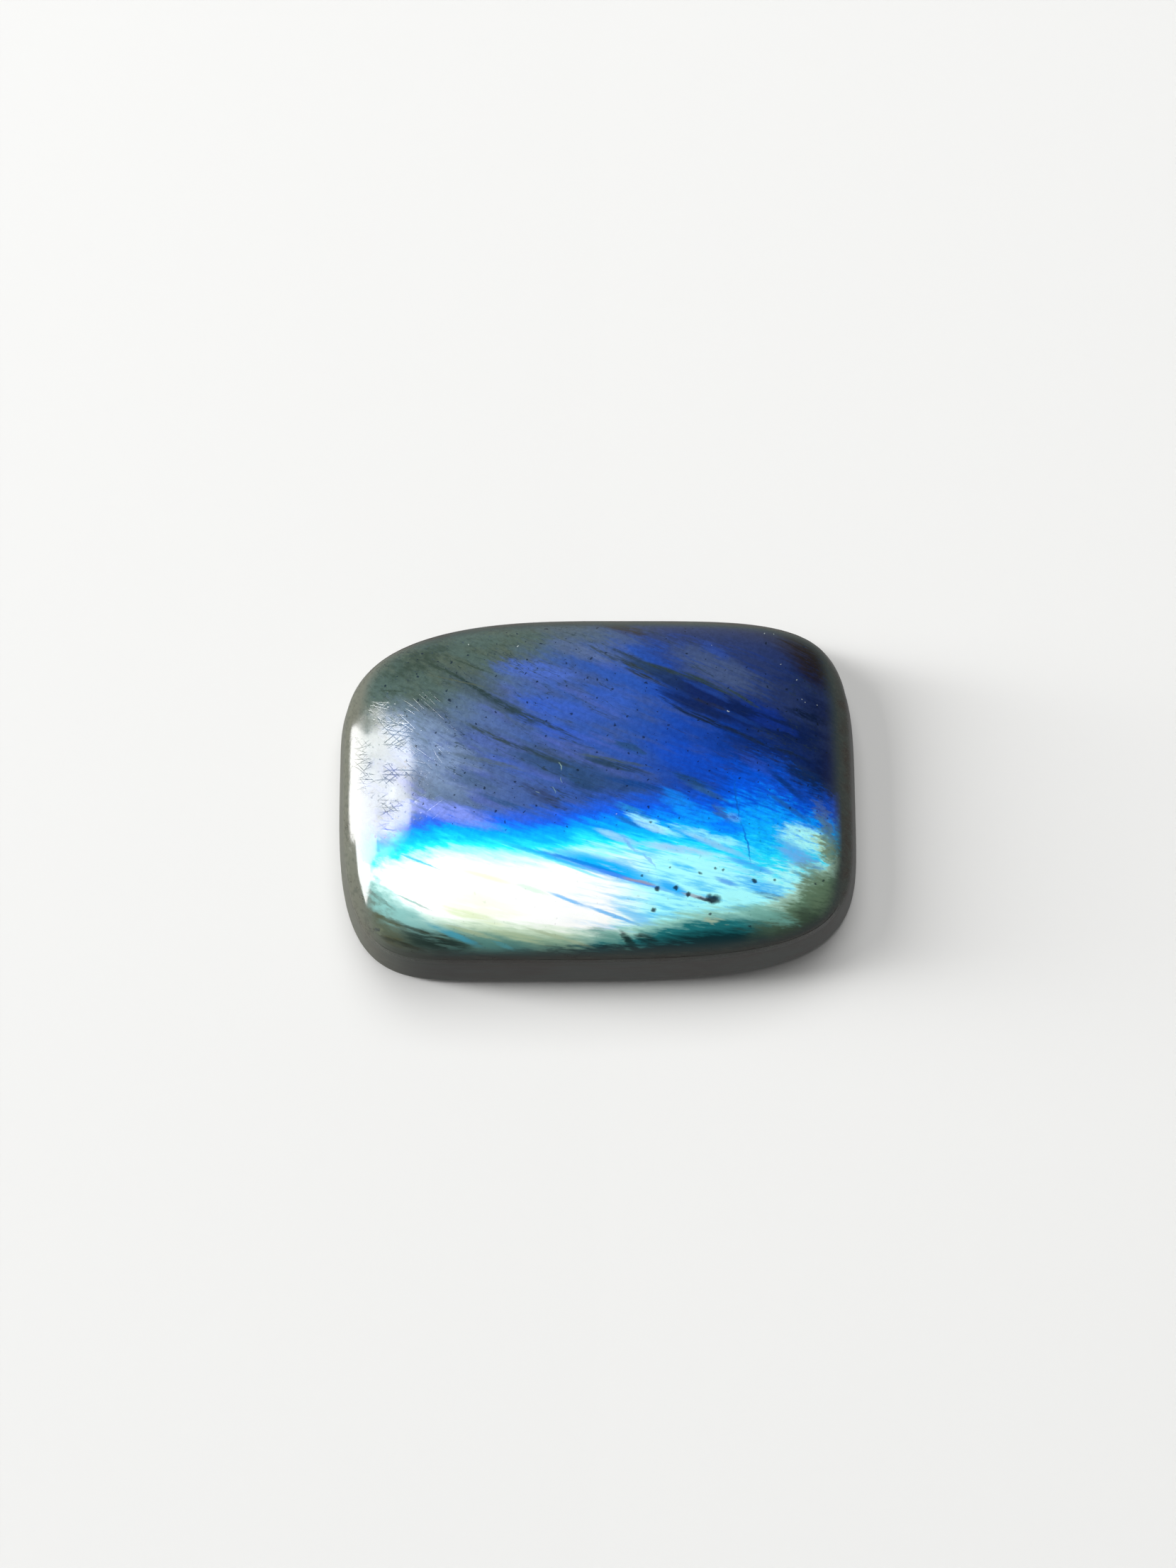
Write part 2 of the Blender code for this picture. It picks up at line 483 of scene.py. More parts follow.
# %% [markdown]
# ## Specks
#
# Feldspar is full of tiny grains of ore, too many to place one by one. A cell noise gives each cell a
# middle and a random colour. The speck sits at the middle, and the colour says how large it is. The
# third power makes most specks tiny and a few of them large, as in the stone.

# %% Group: specks
SPECK_CORE = 0.4

specks, given, result = new_group(
    "specks", {"Place": "Vector", "Spacing": "Float", "Size": "Float"}, {"Mask": "Float"}
)
packed = vector_calc(specks, "SCALE", given["Place"], calc(specks, "DIVIDE", 1.0, given["Spacing"]))
cells = put(specks, "TexVoronoi", {"voronoi_dimensions": "2D"}, Vector=packed, Scale=1.0)
luck = put(specks, "SeparateColor", Color=cells.outputs["Color"]).outputs["Red"]
radius = calc(specks, "MULTIPLY", calc(specks, "POWER", luck, 3.0), given["Size"])
core = calc(specks, "MULTIPLY", radius, SPECK_CORE)
feed(specks, result["Mask"], spread(specks, cells.outputs["Distance"], radius, core))
tally("group specks", specks)

# %% [markdown]
# ## Scratches
#
# Use leaves scratches: long, thin and nearly straight. A noise that is drawn out one way swings
# slowly to both sides of its middle value. The line where it crosses that value is such a scratch,
# so the depth depends only on how close to the middle the noise is.

# %% Group: scratches
SCRATCH_BREADTH = 0.035

scratches, given, result = new_group(
    "scratches",
    {"Place": "Vector", "Angle": "Float", "Length": "Float", "Width": "Float"},
    {"Depth": "Float"},
)
about_z = {"rotation_type": "Z_AXIS"}
turned = put(scratches, "VectorRotate", about_z, Vector=given["Place"], Angle=given["Angle"]).outputs[0]
stretch = put(scratches, "CombineXYZ", X=given["Length"], Y=given["Width"], Z=1.0).outputs[0]
drawn_out = vector_calc(scratches, "DIVIDE", turned, stretch)
swing = put(scratches, "TexNoise", Vector=drawn_out, Scale=1.0, Detail=0.0).outputs["Fac"]
off_line = calc(scratches, "ABSOLUTE", calc(scratches, "SUBTRACT", swing, 0.5))
feed(scratches, result["Depth"], spread(scratches, off_line, SCRATCH_BREADTH, 0.0))
tally("group scratches", scratches)

# %% [markdown]
# ## Colours and borders that follow a value
#
# Two helpers are left. A ramp turns a value, such as the place along the stone, into a colour. A
# curve gives the height of a border at each place along the stone. The flash ends on such a border,
# which a straight line or an arc could not follow.

# %% Ramps and curves


def share_of_way(tree, value, first, last):
    """How far a value has come from first to last, as a share."""
    return calc(tree, "DIVIDE", calc(tree, "SUBTRACT", value, first), last - first)


def ramp(tree, value, stops):
    """A colour that follows a value. Each stop is (value, colour) or (value, colour, share)."""
    first, last = stops[0][0], stops[-1][0]
    made = put(tree, "ValToRGB", Fac=share_of_way(tree, value, first, last))
    points = made.color_ramp.elements
    points[0].color = (*stops[0][1], *(stops[0][2:] or [1.0]))
    points[1].color = (*stops[-1][1], *(stops[-1][2:] or [1.0]))
    for stop, colour, *share in stops[1:-1]:
        points.new((stop - first) / (last - first)).color = (*colour, *(share or [1.0]))
    return made.outputs


def curve_over(tree, x, points, low, high):
    """A smooth curve through points (x, value), with values from low to high, read at x."""
    first, last = points[0][0], points[-1][0]
    made = put(tree, "FloatCurve", Value=share_of_way(tree, x, first, last))
    curve = made.mapping.curves[0]
    scaled = [((px - first) / (last - first), (value - low) / (high - low)) for px, value in points]
    curve.points[0].location, curve.points[1].location = scaled[0], scaled[-1]
    for spot in scaled[1:-1]:
        curve.points.new(*spot)
    made.mapping.update()
    return calc(tree, "MULTIPLY_ADD", made.outputs["Value"], high - low, low)


# %% [markdown]
# ## The material and its places
#
# One material covers the whole stone, because it is one piece of mineral. Every pattern reads the
# place on the stone in mm from the middle of the back, so it stays put when the stone moves. The
# place comes in four kinds: as it is, as flow along the layers, with finely feathered edges for veins,
# and with widely frayed edges for bands.

# %% The material and its places
finish = bpy.data.materials.new("labradorite_polish")
finish.use_nodes = True
tree = finish.node_tree
surface = tree.nodes["Principled BSDF"]

place = vector_calc(tree, "SCALE", put(tree, "TexCoord").outputs["Object"], 1 / MM)
layers = use_group(tree, flow, Place=place)["Flow"]
fine = use_group(tree, feather, Place=place, Flow=layers, Reach=0.17, Width=0.10)["Place"]
frayed = use_group(tree, feather, Place=place, Flow=layers, Reach=0.65, Width=0.32)["Place"]
height = put(tree, "SeparateXYZ", Vector=place).outputs["Z"]
frayed_x, frayed_y, _ = put(tree, "SeparateXYZ", Vector=frayed).outputs
tally("places", tree)

# %% [markdown]
# ## Streaks, from broad to fine
#
# The same streaks come in four sizes. Broad ones cloud the colour. Narrow ones wear thin spots into
# bands and veins: wear thins them a lot, and firm only a little. Threads are the cracks between
# layers, and the finest split a vein into strands. Grains aren't drawn out along the layers, so their
# places are jittered by the same amount in every direction, which makes their outlines crumbly.

# %% Streaks, from broad to fine
CRUMBLE = 0.32

broad = use_group(tree, streaks, Flow=layers, Length=5.0, Width=1.3, Detail=4.0)["Value"]
narrow = use_group(tree, streaks, Flow=layers, Length=2.2, Width=0.2, Detail=3.0)["Value"]
thread_noise = use_group(tree, streaks, Flow=layers, Length=6.0, Width=0.8, Detail=3.0)["Value"]
wear = spread(tree, narrow, 0.30, 0.55, 0.35, 1.0)
strand_noise = use_group(tree, streaks, Flow=layers, Length=1.8, Width=0.09, Detail=2.0)["Value"]
hairs = spread(tree, strand_noise, 0.60, 0.76, 0.0, 0.55)
strands = spread(tree, strand_noise, 0.34, 0.54, 0.25, 1.0)
firm = spread(tree, narrow, 0.25, 0.45, 0.7, 1.0)
jitter = put(tree, "TexNoise", Vector=place, Scale=3.0, Detail=2.0).outputs["Color"]
jitter = vector_calc(tree, "SUBTRACT", jitter, (0.5, 0.5, 0.5))
crumbly = vector_calc(tree, "MULTIPLY_ADD", jitter, (CRUMBLE, CRUMBLE, 0.0), place)
grain = put(tree, "TexNoise", Vector=place, Scale=3.6, Detail=3.0, Roughness=0.7).outputs["Fac"]
tally("streaks and grain", tree)

# %% [markdown]
# ## The feldspar under the colour
#
# Start with what the stone is where nothing flashes: grey-green, slightly smoky feldspar with olive
# and mossy streaks. It is laid first, so that it can show through wherever the blue is thin.

# %% The feldspar
SAGE = (0.056, 0.088, 0.078)
OLIVE = (0.066, 0.082, 0.056)
MOSS = (0.028, 0.046, 0.036)

body = mix(tree, spread(tree, broad, 0.42, 0.66, 0.0, 0.55), SAGE, OLIVE)
body = mix(tree, spread(tree, narrow, 0.48, 0.68, 0.0, 0.5), body, MOSS)
tally("feldspar", tree)

# %% [markdown]
# ## The blue field
#
# Over the far two thirds of the face the layers throw back indigo and cobalt. The blue is strongest
# in the middle, goes grey towards the far left, where the feldspar shows through, and darkens to
# navy at the right. A ramp along the stone gives the blue, and broad streaks lay a paler veil over it.

# %% The blue field
VEIL = (0.040, 0.070, 0.175)
SMOKE = (0.030, 0.034, 0.040)

field = ramp(tree, frayed_x, [
    (-13.5, (0.070, 0.105, 0.130)),
    (-10.0, (0.090, 0.140, 0.220)),
    (-6.5, (0.060, 0.104, 0.240)),
    (-2.0, (0.028, 0.076, 0.290)),
    (2.5, (0.016, 0.064, 0.310)),
    (5.0, (0.006, 0.048, 0.320)),
    (8.5, (0.003, 0.032, 0.230)),
    (13.0, (0.004, 0.012, 0.060)),
])["Color"]
veil = calc(tree, "MULTIPLY", spread(tree, broad, 0.42, 0.64), spread(tree, frayed_y, -2.5, 1.0, 0.0, 0.7))
veil = calc(tree, "MULTIPLY", veil, spread(tree, frayed_x, 8.0, 3.0, 0.3, 1.0))
colour = mix(tree, veil, field, VEIL)
far_left = calc(tree, "MULTIPLY_ADD", frayed_x, -0.5, calc(tree, "MULTIPLY", frayed_y, 0.85))
colour = mix(tree, spread(tree, far_left, 6.0, 10.2), colour, body)
far_right = calc(tree, "MULTIPLY_ADD", frayed_x, 0.15, frayed_y)
colour = mix(tree, spread(tree, far_right, 8.3, 11.0, 0.0, 0.8), colour, SMOKE)
tally("blue field", tree)

# %% [markdown]
# ## Patches of the blue field
#
# Whole packets of layers lie a little askew, so each flashes its own blue, and some are dull slate. They are
# the widest markings, a few millimetres long, with soft and frayed edges. One wide pale slate patch at the
# left end is painted haze, the glare around the mirrored window. The list runs from the first one laid to the
# last, so a later patch covers an earlier one.

# %% Patches of the blue field
UPPER_PATCHES = [
    Marking((-13.4, 6.2), (-8.4, 9.2), 2.2, MOSS, 0.75),
    Marking((-6.9, 7.3), (-0.5, 6.1), 1.7, (0.048, 0.100, 0.37), 1.0),
    Marking((-6.6, 5.0), (1.5, 3.5), 1.7, (0.028, 0.080, 0.37), 0.95),
    Marking((-1.0, 5.6), (2.5, 4.0), 1.8, (0.026, 0.080, 0.37), 0.8),
    Marking((0.5, 11.0), (14.6, 3.2), 6.4, (0.020, 0.032, 0.082), 0.85, 0.3, 0.9),
    Marking((6.5, 2.9), (14.0, 1.2), 2.2, (0.004, 0.018, 0.105), 0.8, 0.0, 0.9),
    Marking((-10.4, 7.7), (-2.4, 2.4), 2.0, (0.042, 0.068, 0.080), 0.7, 0.0, 0.9),
    # Painted haze: this pale slate lens at the left end stands in for the glare around the mirrored window.
    Marking((-13.2, 5.4), (-6.8, -1.6), 4.2, (0.150, 0.215, 0.34), 0.8, 0.0, 1.0),
    Marking((2.4, 2.4), (10.6, -1.0), 2.6, (0.002, 0.056, 0.46), 0.85, 0.0, 0.9),
    Marking((-5.0, 10.2), (3.6, 8.4), 1.7, (0.062, 0.092, 0.125), 0.75, 0.0, 1.0),
    Marking((-8.8, 3.6), (-0.2, 0.2), 1.3, (0.032, 0.056, 0.085), 0.65, 0.0, 0.9),
    Marking((-8.6, 2.9), (-3.4, 1.5), 1.4, (0.055, 0.095, 0.30), 0.7),
    Marking((-5.8, 4.3), (0.4, 1.7), 1.3, (0.026, 0.078, 0.40), 0.8, 0.0, 0.9),
    Marking((-7.0, 1.5), (-3.0, -0.2), 1.0, (0.038, 0.088, 0.33), 0.75, 0.0, 0.9),
    Marking((1.0, 2.1), (2.6, 1.5), 0.8, (0.015, 0.055, 0.15), 0.9),
    Marking((-3.8, 9.0), (2.8, 6.9), 1.5, (0.072, 0.108, 0.20), 0.75, 0.0, 1.0),
    Marking((3.6, 8.6), (10.8, 5.1), 2.7, (0.046, 0.074, 0.160), 0.85, 0.0, 0.9),
    Marking((6.0, 8.9), (8.1, 7.5), 0.9, (0.020, 0.052, 0.23), 0.8),
    Marking((-0.4, 10.7), (3.2, 9.0), 1.2, (0.028, 0.028, 0.022), 0.9),
    Marking((11.0, 10.6), (15.4, 5.4), 4.0, (0.016, 0.012, 0.010), 0.95),
    Marking((10.7, 1.4), (14.4, -1.0), 1.5, (0.003, 0.022, 0.10), 0.85),
    Marking((7.9, 1.7), (11.0, 0.1), 1.0, (0.022, 0.042, 0.19), 0.8),
    Marking((-2.7, 0.7), (0.6, -1.3), 1.5, (0.014, 0.044, 0.110), 0.85, 0.0, 0.9),
    Marking((-4.6, -0.4), (-1.9, -1.8), 1.0, (0.026, 0.042, 0.10), 0.9),
    Marking((-9.2, 0.5), (-5.7, -0.6), 1.2, (0.045, 0.085, 0.17), 0.8),
]
print(len(UPPER_PATCHES), "patches in the blue field")

# %% [markdown]
# ## The dark band
#
# A broad navy band crosses the field from the far side to the right end, where the layers turn away
# from the light. It is built of several lenses over each other, with a few brighter strands between
# them. One wide lens would be simpler, but its outline would be too smooth. The last lens is the
# fainter dark belt just above the flash.

# %% The dark band
DARK_BAND = [
    Marking((0.6, 8.2), (7.2, 4.6), 1.1, (0.016, 0.034, 0.060), 0.9, 0.0, 0.7),
    Marking((2.4, 7.0), (9.4, 3.5), 1.7, (0.007, 0.022, 0.088), 0.95, 0.1, 0.7),
    Marking((4.4, 6.2), (10.6, 2.8), 1.9, (0.004, 0.014, 0.085), 0.95, 0.0, 0.7),
    Marking((6.6, 5.0), (14.2, 2.0), 2.0, (0.003, 0.012, 0.065), 0.9, 0.0, 0.7),
    Marking((3.0, 5.8), (8.4, 3.2), 1.0, (0.004, 0.012, 0.058), 0.9, 0.0, 0.8),
    Marking((4.8, 6.2), (8.2, 4.6), 0.5, (0.010, 0.040, 0.21), 0.8, 0.1, 0.9),
    Marking((6.4, 4.6), (10.6, 2.9), 0.5, (0.006, 0.034, 0.20), 0.7, 0.0, 0.9),
    Marking((8.1, 5.1), (11.4, 3.7), 0.8, (0.005, 0.026, 0.20), 0.9),
    Marking((8.3, 4.1), (12.5, 2.8), 0.7, (0.005, 0.024, 0.18), 0.9),
    Marking((-6.2, 1.6), (4.2, -1.2), 1.6, (0.020, 0.056, 0.140), 0.75, 0.0, 0.9),
]
print(len(DARK_BAND), "lenses in the dark band")

# %% [markdown]
# ## Veins of the blue field
#
# Dark veins are where layers have parted or other minerals have grown in. They are the sharpest
# marks in the blue, a few tenths of a millimetre wide, and nearly all of them run along the layers.

# %% Veins of the blue field
UPPER_VEINS = [
    Marking((-10.8, 7.7), (-7.6, 6.0), 0.30, MOSS, 0.95),
    Marking((-9.2, 7.0), (-5.4, 4.3), 0.36, (0.020, 0.036, 0.034), 0.95),
    Marking((-7.6, 5.7), (-2.8, 2.8), 0.70, (0.018, 0.036, 0.046), 0.95),
    Marking((-5.0, 4.3), (-0.6, 2.0), 0.38, (0.018, 0.036, 0.055), 0.9),
    Marking((-8.4, 3.7), (-4.2, 1.5), 0.36, (0.028, 0.046, 0.046), 0.9),
    Marking((-6.2, 2.5), (-0.6, 0.2), 0.42, (0.020, 0.040, 0.055), 0.9),
    Marking((-9.0, 7.8), (-6.0, 6.4), 0.18, MOSS),
    Marking((-10.8, 6.8), (-6.1, 5.5), 0.12, OLIVE),
    Marking((-13.4, 5.8), (-11.4, 5.6), 0.14, MOSS),
    Marking((-0.9, 8.7), (1.5, 7.1), 0.24, (0.025, 0.042, 0.055)),
    Marking((0.5, 8.4), (2.7, 7.3), 0.22, (0.020, 0.034, 0.045)),
    Marking((0.3, 8.0), (3.6, 6.2), 0.42, (0.024, 0.036, 0.032), 0.95),
    Marking((1.2, 7.1), (4.6, 5.4), 0.40, (0.018, 0.028, 0.034), 0.95),
    Marking((2.2, 7.5), (6.4, 5.9), 0.34, (0.020, 0.036, 0.030), 0.95),
    Marking((4.6, 6.9), (8.6, 4.9), 0.36, (0.020, 0.038, 0.026), 0.95),
    Marking((7.2, 5.9), (10.2, 4.1), 0.26, (0.024, 0.044, 0.028), 0.9),
    Marking((5.4, 5.0), (8.0, 4.1), 0.35, (0.016, 0.020, 0.026)),
    Marking((3.4, 5.2), (5.9, 3.6), 0.30, (0.007, 0.018, 0.052), 0.95),
    Marking((4.1, 4.5), (8.9, 2.6), 0.50, (0.006, 0.016, 0.045), 1.0),
    Marking((7.1, 3.4), (10.9, 1.7), 0.34, (0.007, 0.018, 0.050), 0.95),
    Marking((9.9, 2.2), (12.9, 1.3), 0.30, (0.007, 0.018, 0.050), 0.95),
    Marking((11.0, 4.6), (14.4, 3.6), 0.65, (0.004, 0.011, 0.04), 0.95),
    Marking((-1.8, 1.5), (3.6, 0.5), 0.30, (0.042, 0.070, 0.048), 0.8),
    Marking((-1.7, 1.3), (3.6, 0.1), 0.55, (0.016, 0.040, 0.075), 0.95),
    Marking((4.1, 0.4), (7.3, -0.9), 0.60, (0.010, 0.048, 0.12), 0.9),
    Marking((0.1, 0.0), (4.6, -0.9), 0.50, (0.005, 0.045, 0.20), 0.9),
    Marking((-9.5, 1.8), (-3.4, 0.2), 0.42, (0.060, 0.092, 0.13), 0.8),
    Marking((-11.0, -1.4), (-7.1, -3.0), 0.34, (0.080, 0.135, 0.26), 0.8),
    Marking((-7.4, -0.8), (-3.1, -2.4), 0.42, (0.024, 0.065, 0.17), 0.85),
]
print(len(UPPER_VEINS), "veins in the blue field")

# %% [markdown]
# ## Laying the blue field
#
# The order is the one in which the stone hides things. Small violet clouds lie deepest, at the left
# of the field. Patches and the dark band come next. Threads and hairs of dark mineral, too many for a
# list, come from the streaks, and the veins lie on top of everything.

# %% Laying the blue field
CLOUD_VIOLET = (0.070, 0.105, 0.38)
THREAD_GREEN = (0.018, 0.034, 0.042)
HAIR_NAVY = (0.016, 0.030, 0.075)

clouds = spread(tree, thread_noise, 0.50, 0.66, 0.0, 0.5)
clouds = calc(tree, "MULTIPLY", clouds, spread(tree, frayed_x, 4.0, -2.0, 0.0, 1.0))
clouds = calc(tree, "MULTIPLY", clouds, spread(tree, far_left, 8.5, 6.0))
colour = mix(tree, clouds, colour, CLOUD_VIOLET)
colour = lay(tree, colour, frayed, wear, UPPER_PATCHES)
colour = lay(tree, colour, frayed, firm, DARK_BAND)
thread = calc(tree, "ABSOLUTE", calc(tree, "SUBTRACT", thread_noise, 0.5))
thread = calc(tree, "MULTIPLY", spread(tree, thread, 0.012, 0.0), spread(tree, broad, 0.45, 0.60, 0.0, 0.75))
colour = mix(tree, thread, colour, THREAD_GREEN)
colour = mix(tree, hairs, colour, HAIR_NAVY)
colour = lay(tree, colour, fine, strands, UPPER_VEINS)
tally("blue field with its markings", tree)

# %% [markdown]
# ## The flash
#
# The layers throw light back at one angle only, so on a domed face the flash is a belt. Above it the
# blue deepens, and below it the stone goes teal and dark. From edge to middle the belt runs through
# royal blue, azure, cyan and ice to white. That takes 2 mm at the left end and much more at the right.
#
# Three curves along the stone describe it: where it starts, how far it takes to rise, and where it
# ends below. A thin-film shader could make the colours come and go with the angle of the light. It
# gives one even rainbow, though, and not this stone's own belt, so the belt is drawn.

# %% Borders of the flash
UPPER_BORDER = [(-16, -4.1), (-13.5, -3.8), (-11.2, -3.25), (-8.9, -2.95), (-6, -3.2), (-3, -3.25), (0, -2.9),
                (3.2, -2.75), (6.5, -2.75), (9.8, -2.3), (12.9, -2.7), (16, -2.7)]
RISE = [(-16, 1.4), (-6, 1.4), (-2, 1.5), (0, 1.6), (3, 1.9), (6.5, 2.4), (9.8, 3.9), (12.5, 2.6), (16, 2.0)]
LOWER_BORDER = [(-16, -3.5), (-14.8, -4.3), (-13.6, -5.3), (-12.5, -6.4), (-11.2, -7.4), (-9.7, -8.2),
                (-7.6, -8.6), (-5.1, -8.7), (-3, -8.9), (-1, -9.1), (1.1, -9.0), (3.6, -8.5), (6.5, -7.9),
                (9, -7.7), (11.1, -6.9), (12.9, -5.6), (16, -3.6)]

upper = curve_over(tree, frayed_x, UPPER_BORDER, -12, 0)
rise = curve_over(tree, frayed_x, RISE, 0, 8)
lower = curve_over(tree, frayed_x, LOWER_BORDER, -12, 0)
near_end, far_end = min(y for _, y in LOWER_BORDER), max(y for _, y in UPPER_BORDER)
print("the flash lies between y =", near_end, "and", far_end, "mm")

# %% [markdown]
# ## Colours of the flash
#
# Depth says how far into the belt a point lies: 0 at the upper border and 1 where the rise is done.
# The narrow streaks push it up and down, so the colours comb into each other along the layers. At the
# right the belt never gets past cyan and ice, so the depth is held back there.

# %% Colours of the flash
ROYAL = (0.001, 0.105, 0.80)
AZURE = (0.002, 0.27, 0.93)
BRIGHT_AZURE = (0.004, 0.45, 0.95)
CYAN = (0.02, 0.74, 0.96)
ICE = (0.36, 0.93, 0.97)
PALE_ICE = (0.60, 0.95, 0.96)
WHITE = (0.96, 0.98, 0.96)
COMBED_AZURE = (0.06, 0.50, 0.90)

depth = calc(tree, "DIVIDE", calc(tree, "SUBTRACT", upper, frayed_y), rise)
unrest = spread(tree, frayed_x, -5.0, 6.0, 0.5, 1.1)
depth = calc(tree, "MULTIPLY_ADD", calc(tree, "SUBTRACT", narrow, 0.5), unrest, depth)
limit = spread(tree, frayed_x, -2.5, 4.0, 2.0, 0.93)
depth = calc(tree, "MINIMUM", depth, limit)
flash = ramp(tree, depth, [
    (-1.1, ROYAL, 0.0),
    (-0.45, ROYAL, 0.75),
    (-0.1, AZURE, 1.0),
    (0.3, BRIGHT_AZURE, 1.0),
    (0.62, CYAN, 1.0),
    (0.92, ICE, 1.0),
    (1.15, PALE_ICE, 1.0),
    (1.5, WHITE, 1.0),
    (2.0, WHITE, 1.0),
])
colour = mix(tree, flash["Alpha"], colour, flash["Color"])
combed = use_group(tree, streaks, Flow=layers, Length=3.6, Width=0.3, Detail=4.0)["Value"]
combed = spread(tree, combed, 0.45, 0.68, 0.0, 0.75)
combed = calc(tree, "MULTIPLY", combed, spread(tree, frayed_x, -3.0, 3.0))
combed = calc(tree, "MULTIPLY", combed, spread(tree, depth, 0.3, 0.8))
colour = mix(tree, combed, colour, COMBED_AZURE)
tally("flash", tree)

# %% [markdown]
# ## Patches of the flash
#
# The belt isn't even. Near the left end the white turns cream at its lower side and violet at its
# upper side. At the right it breaks up into packets of layers, royal blue beside ice. These are
# lenses again, wide and soft.

# %% Patches of the flash
FLASH_PATCHES = [
    Marking((-11.2, -6.4), (-3.6, -8.2), 1.9, (0.86, 0.93, 0.72), 0.75, 0.0, 1.0),
    Marking((-9.6, -7.4), (-5.0, -8.8), 0.8, (0.66, 0.78, 0.48), 0.8, 0.0, 1.0),
    Marking((-12.6, -1.2), (-5.2, -3.1), 1.5, (0.155, 0.215, 0.60), 0.95, 0.25),
    Marking((6.6, -1.4), (8.1, -2.8), 0.9, (0.03, 0.09, 0.32), 0.8),
    Marking((6.1, -2.5), (9.0, -3.3), 1.1, (0.001, 0.15, 0.93), 0.9),
    Marking((3.6, -0.8), (6.6, -2.8), 1.6, (0.004, 0.33, 0.93), 0.5),
    Marking((1.0, -1.7), (3.2, -2.4), 0.7, (0.02, 0.24, 0.50), 0.8),
    Marking((1.5, -2.1), (5.1, -3.6), 0.7, (0.36, 0.88, 0.95), 0.8),
    Marking((4.2, -2.9), (9.3, -4.2), 0.7, (0.32, 0.86, 0.95), 0.8),
    Marking((2.4, -4.2), (9.6, -5.6), 1.8, (0.36, 0.90, 0.96), 0.75),
    Marking((10.3, -2.9), (14.6, -3.9), 1.9, (0.42, 0.95, 0.95), 0.95),
    Marking((12.6, -3.0), (14.9, -5.2), 1.4, (0.42, 0.60, 0.36), 0.8),
    Marking((10.3, -3.7), (13.4, -5.2), 1.5, (0.13, 0.40, 0.84), 0.9),
    Marking((7.9, -5.9), (11.3, -6.8), 1.0, (0.02, 0.38, 0.90), 0.85),
]
print(len(FLASH_PATCHES), "patches in the flash")

# %% [markdown]
# ## Veins and lines of the flash
#
# Where the belt is bright, a vein reads as a thin blue line on white, and at the right as a dark line
# on blue. The longest lines cut the white from the upper left to the lower right. The right edge of
# the belt fades into olive feldspar.

# %% Veins and lines of the flash
FLASH_VEINS = [
    Marking((4.6, 0.0), (7.9, -1.5), 0.5, (0.02, 0.085, 0.24), 0.9),
    Marking((9.9, 0.9), (12.6, -1.4), 0.5, (0.003, 0.033, 0.19), 0.95),
    Marking((9.8, -0.6), (13.0, -2.6), 0.42, (0.01, 0.09, 0.38), 0.9),
    Marking((7.55, -2.1), (8.5, -2.5), 0.6, (0.1, 0.35, 0.82), 0.7),
    Marking((7.75, -2.2), (8.3, -2.4), 0.32, (0.02, 0.12, 0.55), 0.8),
    Marking((-0.4, -3.0), (2.8, -4.2), 0.6, (0.33, 0.56, 0.83), 0.75),
    Marking((1.7, -3.8), (7.3, -4.6), 0.6, (0.33, 0.56, 0.83), 0.8),
    Marking((4.4, -3.0), (9.2, -4.8), 0.5, (0.24, 0.52, 0.83), 0.8),
    Marking((0.7, -2.2), (2.8, -3.1), 0.42, (0.01, 0.115, 0.43), 0.85),
    Marking((1.8, -2.4), (4.2, -3.4), 0.6, (0.34, 0.62, 0.83), 0.75),
    Marking((4.0, -4.9), (6.1, -5.6), 0.5, (0.03, 0.48, 0.92), 0.85),
    Marking((6.7, -5.8), (8.5, -6.4), 0.4, (0.1, 0.34, 0.82), 0.85),
    Marking((7.2, -4.5), (10.8, -5.7), 0.5, (0.03, 0.34, 0.87), 0.85),
    Marking((8.9, -6.6), (11.9, -7.2), 0.42, (0.08, 0.19, 0.29), 0.85),
]
RIGHT_EDGE = [Marking((12.9, -0.4), (14.3, -7.4), 1.5, (0.105, 0.155, 0.10), 0.75, 0.3, 1.0)]
BELT_LINES = [
    Marking((-6.9, -3.4), (1.2, -6.0), 0.34, (0.02, 0.43, 0.92), 0.95),
    Marking((-3.8, -4.1), (4.6, -6.7), 1.30, (0.005, 0.42, 0.90), 1.0, 0.15),
    Marking((-4.6, -4.1), (2.4, -6.1), 0.30, (0.003, 0.20, 0.70), 0.9, 0.1),
    Marking((-2.0, -4.9), (5.1, -6.9), 0.30, (0.05, 0.24, 0.82), 0.95),
    Marking((1.2, -5.85), (3.6, -6.35), 0.26, (0.33, 0.29, 0.34), 0.8),
    Marking((3.2, -5.9), (5.5, -7.0), 0.8, (0.01, 0.38, 0.90), 0.9),
    Marking((4.7, -6.7), (6.9, -7.2), 0.28, (0.30, 0.28, 0.36), 0.8),
    Marking((-4.6, -4.2), (1.0, -6.2), 0.22, (0.1, 0.71, 0.94), 0.8),
    Marking((-3.2, -6.6), (-0.3, -7.7), 0.28, (0.15, 0.48, 0.87), 0.9),
    Marking((-1.3, -7.3), (3.5, -8.9), 0.28, (0.15, 0.48, 0.87), 0.95),
    Marking((0.9, -7.5), (4.0, -8.9), 0.6, (0.2, 0.57, 0.91), 0.8),
    Marking((-12.4, -4.0), (-8.9, -5.5), 0.17, (0.02, 0.42, 0.87), 0.85),
    Marking((-9.1, -5.1), (-4.4, -6.4), 0.42, (0.95, 0.90, 0.48), 0.65, 0.0, 1.0),
    Marking((-5.2, -6.1), (-2.5, -7.0), 0.38, (0.49, 0.82, 0.58), 0.55, 0.0, 1.0),
    Marking((-13.8, -5.7), (-12.0, -6.6), 0.22, (0.09, 0.22, 0.20)),
    Marking((-12.5, -6.4), (-9.4, -7.9), 0.16, (0.14, 0.30, 0.26), 0.8),
]
colour = lay(tree, colour, frayed, wear, FLASH_PATCHES)
colour = lay(tree, colour, fine, wear, FLASH_VEINS)
colour = lay(tree, colour, fine, firm, BELT_LINES)
colour = lay(tree, colour, frayed, firm, RIGHT_EDGE)
